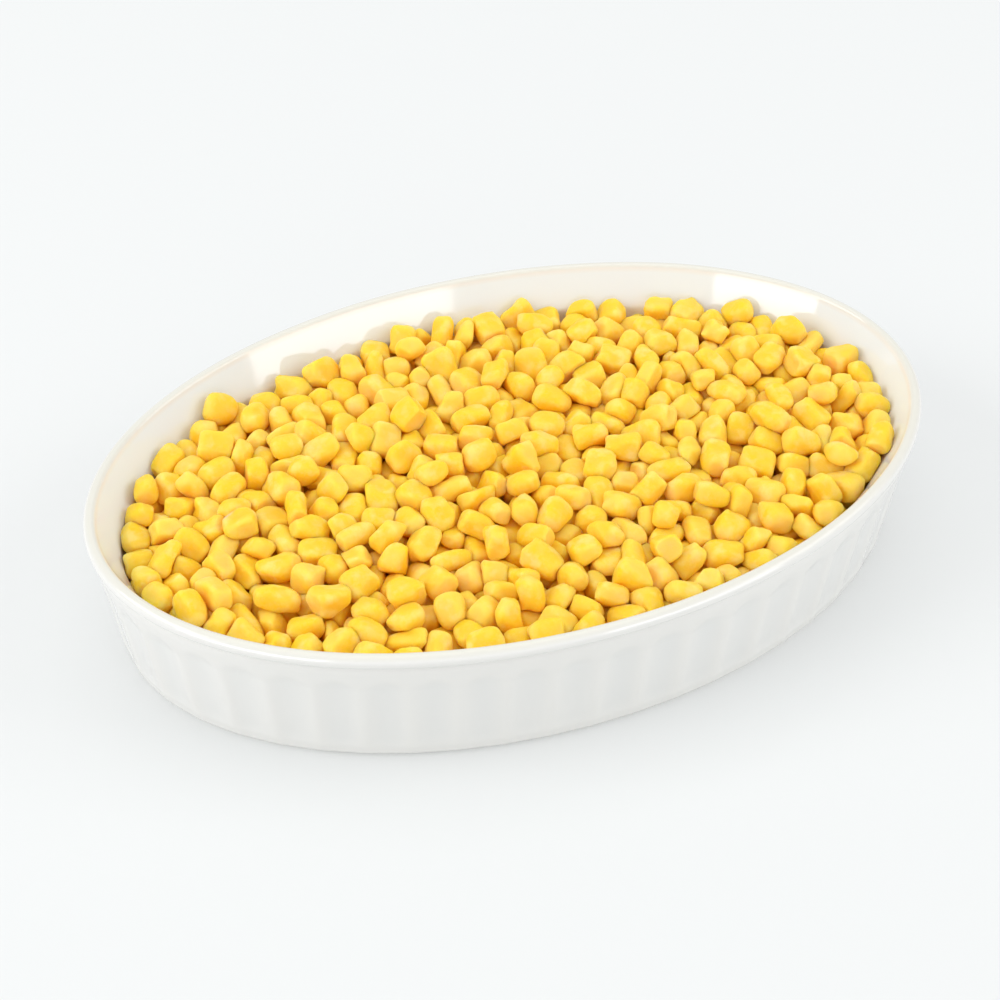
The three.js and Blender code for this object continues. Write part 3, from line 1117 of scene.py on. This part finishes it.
# Corn packed deep in the dish: warm orange yellow, seen only between the kernels over it.
# Painted shade: the low parts of its lumps take the darker orange of its low colour.
PACKED_CORN = GrainyFinish("packed_corn_in_shade", "#F8CA38", "#F0B428", 6.0, 2.0, 0.6, 1.0, 0.6)


@dataclass(frozen=True)
class GlazedStoneware(Finish):
    """White stoneware under a clear gloss glaze, dipped and fired.

    The glaze gives a hard, even reflection with a faint orange peel. It lies a little thinner and
    warmer on the ridges, pools slightly greyer in the channels, is thickest and coolest inside, and
    runs off the lip, where it is thin and lets the cream of the clay through. Inside it thickens
    downwards, which leans its surface up a little and lifts what it mirrors clear of the food.
    """

    name: str = "gloss_glazed_stoneware"
    body: str = "#E7E6E2"
    pooled: str = "#E0E1DF"
    inside: str = "#E4E9EA"
    thin: str = "#DCDACF"
    roughness: float = 0.07
    ior: float = 1.55
    peel_mm: float = 2.2
    peel_depth_mm: float = 0.012
    drift_mm: float = 30.0
    lean: float = 0.06

    def inputs(self, tree: bpy.types.NodeTree, place: bpy.types.NodeSocket) -> dict[str | int, Any]:
        """Adds the glaze's colours and the fine peel of its gloss.

        Args:
            tree: The material's nodes.
            place: The place on the object, in metres.

        Returns:
            The shader's inputs by name.
        """
        ridge, inner, lip = (
            add_node(tree, "Attribute", attribute_name=name).outputs["Fac"]
            for name in ("ridge", "inner", "lip")
        )
        drift, peel = (
            add_node(tree, "TexNoise", {"Vector": place, "Scale": 1 / (size * MM), "Detail": detail})
            for size, detail in ((self.drift_mm, 2.0), (self.peel_mm, 1.0))
        )
        channel = add_node(tree, "MapRange", {"Value": ridge, "From Min": 0.8, "From Max": 0.0})
        pool = add_node(
            tree, "Math", {0: channel.outputs[0], 1: drift.outputs["Fac"]}, operation="MULTIPLY"
        )
        colour: Any = linear(self.body)
        for share, over in ((pool.outputs[0], self.pooled), (inner, self.inside), (lip, self.thin)):
            layer = add_node(tree, "Mix", {0: share, 6: colour, 7: linear(over)}, data_type="RGBA")
            colour = layer.outputs[2]
        normal = add_node(tree, "NewGeometry").outputs["Normal"]
        leant = add_node(
            tree, "VectorMath", {0: (0.0, 0.0, self.lean), 1: inner, 2: normal}, operation="MULTIPLY_ADD"
        )
        leant = add_node(tree, "VectorMath", {0: leant.outputs[0]}, operation="NORMALIZE")
        bump = add_node(
            tree,
            "Bump",
            {
                "Height": peel.outputs["Fac"],
                "Strength": 0.35,
                "Distance": self.peel_depth_mm * MM,
                "Normal": leant.outputs[0],
            },
        )
        return {
            "Base Color": colour,
            "Roughness": self.roughness,
            "IOR": self.ior,
            "Normal": bump.outputs[0],
        }


@dataclass(frozen=True)
class SweetcornSkin(Finish):
    """Blanched sweetcorn: a thin moist skin over translucent flesh.

    Light sinks in and comes back warmer, so kernels glow yellow on top and orange where they meet.
    Tones drift from kernel to kernel, the crown is paler, the cut tip turns to pale salmon, and the hollows
    of the dents are painted a deeper orange as painted shade.
    """

    name: str = "blanched_sweetcorn_skin"
    deep: str = "#F6C930"
    bright: str = "#F8CA26"
    pale: str = "#F9CF56"
    cream: str = "#FAD880"
    tip: str = "#FAC870"
    crown: str = "#FAD566"
    mottle_mm: float = 3.2
    frost_mm: float = 4.6
    fleck_mm: float = 1.0
    wrinkle_mm: float = 1.1
    depth_mm: float = 5.0

    def inputs(self, tree: bpy.types.NodeTree, place: bpy.types.NodeSocket) -> dict[str | int, Any]:
        """Adds the skin's layers of colour, its wrinkles and the light that sinks in.

        Args:
            tree: The material's nodes.
            place: The place on the object, in metres.

        Returns:
            The shader's inputs by name.
        """
        tone, along, relief = (
            add_node(tree, "Attribute", attribute_name=name).outputs["Fac"]
            for name in ("tone", "along", "relief")
        )
        grains = (
            (self.mottle_mm, 3.0), (self.frost_mm, 4.0), (self.fleck_mm, 2.0), (self.wrinkle_mm, 2.0)
        )
        mottle, frost, fleck, wrinkle = (
            add_node(
                tree, "TexNoise", {"Vector": place, "Scale": 1 / (size * MM), "Detail": detail}
            ).outputs["Fac"]
            for size, detail in grains
        )
        # Each layer: what it follows, where it starts, where it is full, its share there, its colour
        layers = (
            (tone, 0.0, 0.55, 1.0, self.bright),
            (tone, 0.62, 1.0, 1.0, self.pale),
            (mottle, 0.42, 0.68, 0.6, self.pale),
            (frost, 0.5, 0.66, 0.75, self.cream),
            (fleck, 0.5, 0.7, 0.45, self.pale),
            # Painted shade: the hollows of the dents take the deeper orange
            (relief, -0.1, -0.7, 0.6, self.deep),
            (along, 0.82, 1.0, 0.5, self.crown),
            (along, 0.25, 0.0, 0.5, self.tip),
        )
        yellow: Any = linear(self.deep)
        for follows, start, full, most, over in layers:
            share = add_node(
                tree, "MapRange", {"Value": follows, "From Min": start, "From Max": full, "To Max": most}
            )
            layer = add_node(
                tree, "Mix", {0: share.outputs[0], 6: yellow, 7: linear(over)}, data_type="RGBA"
            )
            yellow = layer.outputs[2]
        bump = add_node(tree, "Bump", {"Height": wrinkle, "Strength": 0.6, "Distance": 0.2 * MM})
        return {
            "Base Color": yellow,
            "Roughness": 0.48,
            "IOR": 1.36,
            "Subsurface Weight": 0.9,
            "Subsurface Radius": (1.0, 0.8, 0.22),
            "Subsurface Scale": self.depth_mm * MM,
            "Normal": bump.outputs[0],
        }


@dataclass(frozen=True)
class Softbox:
    """A rectangular studio light that faces the dish.

    Attributes:
        name: The light's name.
        azimuth: Degrees from the front (-Y) towards +X.
        elevation: Degrees above the table.
        distance: Distance from the dish.
        width: Width of the light.
        height: Height of the light.
        radiance: Brightness of its face.
        only_gleam: Whether it shows only in gloss, because the room's light does the rest.
    """

    name: str
    azimuth: float
    elevation: float
    distance: float
    width: float
    height: float
    radiance: float
    only_gleam: bool = False

    def build(self) -> bpy.types.Object:
        """Makes the light.

        Returns:
            The light, out of the camera's own sight.
        """
        light = bpy.data.lights.new(self.name, "AREA")
        light.shape = "RECTANGLE"
        light.size = self.width * MM
        light.size_y = self.height * MM
        light.energy = self.radiance * np.pi * light.size * light.size_y
        turn, rise = np.radians([self.azimuth, self.elevation])
        away = Vector((np.sin(turn) * np.cos(rise), -np.cos(turn) * np.cos(rise), np.sin(rise)))
        item = bpy.data.objects.new(self.name, light)
        item.location = away * self.distance * MM + Vector((0, 0, 30 * MM))
        item.rotation_euler = (-away).to_track_quat("-Z", "Y").to_euler()
        item.visible_camera = False
        item.visible_diffuse = not self.only_gleam
        bpy.context.scene.collection.objects.link(item)
        return item


@dataclass(frozen=True)
class Studio:
    """The plain pale floor, the soft light and the camera.

    Attributes:
        softboxes: The lights.
        floor_colour: The matte floor.
        floor_glow: Light that shines up through the floor, which thins the shadows.
        room_colour: The light that comes from all round.
        room_light: Its strength.
        bounces: How often light may bounce between the pale kernels.
        floor_side: Side of the square floor.
        pitch: Degrees by which the camera looks down.
        swing: Degrees by which the camera stands to the left of the front.
        distance: Distance from the camera to the middle of the lip's plane.
        focal_pixels: Focal length, in pixels of a picture 1000 pixels wide.
        middle_pixel: Where the middle of the lip's plane falls in that picture.
        aim_height: Height of the plane that the camera was fitted to.
    """

    softboxes: tuple[Softbox, ...] = (
        Softbox("softbox_top", 180.0, 82.0, 2000.0, 1700.0, 1700.0, 0.8),
        Softbox("softbox_front", -10.0, 15.0, 5000.0, 5300.0, 2300.0, 0.47),
        Softbox("softbox_left", -95.0, 35.0, 2000.0, 1200.0, 1000.0, 3.5),
        Softbox("softbox_right", 65.0, 35.0, 2000.0, 1200.0, 1000.0, 2.3),
        Softbox("softbox_front_right", 30.0, 15.0, 1000.0, 560.0, 380.0, 3.8, only_gleam=True),
        Softbox("softbox_front_left", -58.0, 16.0, 1000.0, 730.0, 380.0, 4.6, only_gleam=True),
    )
    floor_colour: str = "#C6C8C7"
    floor_glow: float = 0.225
    room_colour: str = "#FCFDFF"
    room_light: float = 0.83
    bounces: int = 10
    floor_side: float = 12000.0
    pitch: float = 42.45
    swing: float = 21.3
    distance: float = 552.0
    focal_pixels: float = 2000.0
    middle_pixel: tuple[float, float] = (516.1, 439.5)
    aim_height: float = 42.3

    def floor(self) -> bpy.types.Object:
        """Makes the floor.

        Returns:
            The floor.
        """
        half = self.floor_side / 2
        material, tree = new_material("matte_backdrop")
        matte = add_node(tree, "BsdfDiffuse", {"Color": linear(self.floor_colour)})
        glow = add_node(tree, "Emission", {"Color": (1.0, 1.0, 1.0, 1.0), "Strength": self.floor_glow})
        shader = add_node(tree, "AddShader", {0: matte.outputs[0], 1: glow.outputs[0]})
        add_node(tree, "OutputMaterial", {"Surface": shader.outputs[0]})
        corners = np.array([[-half, -half, 0], [half, -half, 0], [half, half, 0], [-half, half, 0]])
        surface = Surface(corners, np.array([[0, 1, 2, 3]]), np.empty((0, 3), dtype=int))
        floor = surface.piece("floor", [material])
        return floor

    def room(self) -> None:
        """Sets the even light from all round, and plain colours in the picture."""
        scene = bpy.context.scene
        world = bpy.data.worlds.new("soft_room")
        world.use_nodes = True
        world.node_tree.nodes.clear()
        light = add_node(
            world.node_tree,
            "Background",
            {"Color": linear(self.room_colour), "Strength": self.room_light},
        )
        add_node(world.node_tree, "OutputWorld", {"Surface": light.outputs[0]})
        scene.world = world
        scene.cycles.max_bounces = max(scene.cycles.max_bounces, self.bounces)
        scene.cycles.diffuse_bounces = self.bounces
        scene.view_settings.view_transform = "Standard"
        scene.view_settings.look = "None"

    def camera(self) -> bpy.types.Object:
        """Sets the camera: a pinhole fitted to the outlines of the lip and the foot.

        Returns:
            The camera.
        """
        pitch = np.radians(self.pitch)
        forward = Vector((0, np.cos(pitch), -np.sin(pitch)))
        right = Vector((1, 0, 0))
        up = Vector((0, np.sin(pitch), np.cos(pitch)))
        aside, above = ((pixel - 500) / self.focal_pixels for pixel in self.middle_pixel)
        stand = (-forward - aside * right + above * up) * self.distance
        turn = Matrix.Rotation(-np.radians(self.swing), 3, "Z")
        stand, forward, right, up = (turn @ vector for vector in (stand, forward, right, up))
        lens = bpy.data.cameras.new("studio_camera")
        lens.sensor_width = 36.0
        lens.lens = 36.0 * self.focal_pixels / 1000
        lens.clip_start = 0.01
        item = bpy.data.objects.new("studio_camera", lens)
        stand = (stand + Vector((0, 0, self.aim_height))) * MM
        frame = Matrix((right, up, -forward)).transposed().to_4x4()
        item.matrix_world = Matrix.Translation(stand) @ frame
        bpy.context.scene.collection.objects.link(item)
        bpy.context.scene.camera = item
        return item

    def build(self) -> None:
        """Makes the floor, the light and the camera."""
        self.floor()
        self.room()
        for softbox in self.softboxes:
            softbox.build()
        self.camera()


def main() -> None:
    """Loads the frame, dresses it, lights it and sets the camera."""
    logging.basicConfig(level=logging.INFO, format="%(name)s: %(message)s", stream=sys.stdout)
    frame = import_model()
    form = DishForm()
    dish = Dish(form).build(GlazedStoneware().material(), BARE_STONEWARE.material())
    LOG.info("%s: %d faces", dish.name, len(dish.data.polygons))
    heap = KernelHeap(form)
    for piece in heap.build(SweetcornSkin().material(), PACKED_CORN.material()):
        LOG.info("%s: %d faces", piece.name, len(piece.data.polygons))
    Studio().build()


if __name__ == "__main__":
    main()
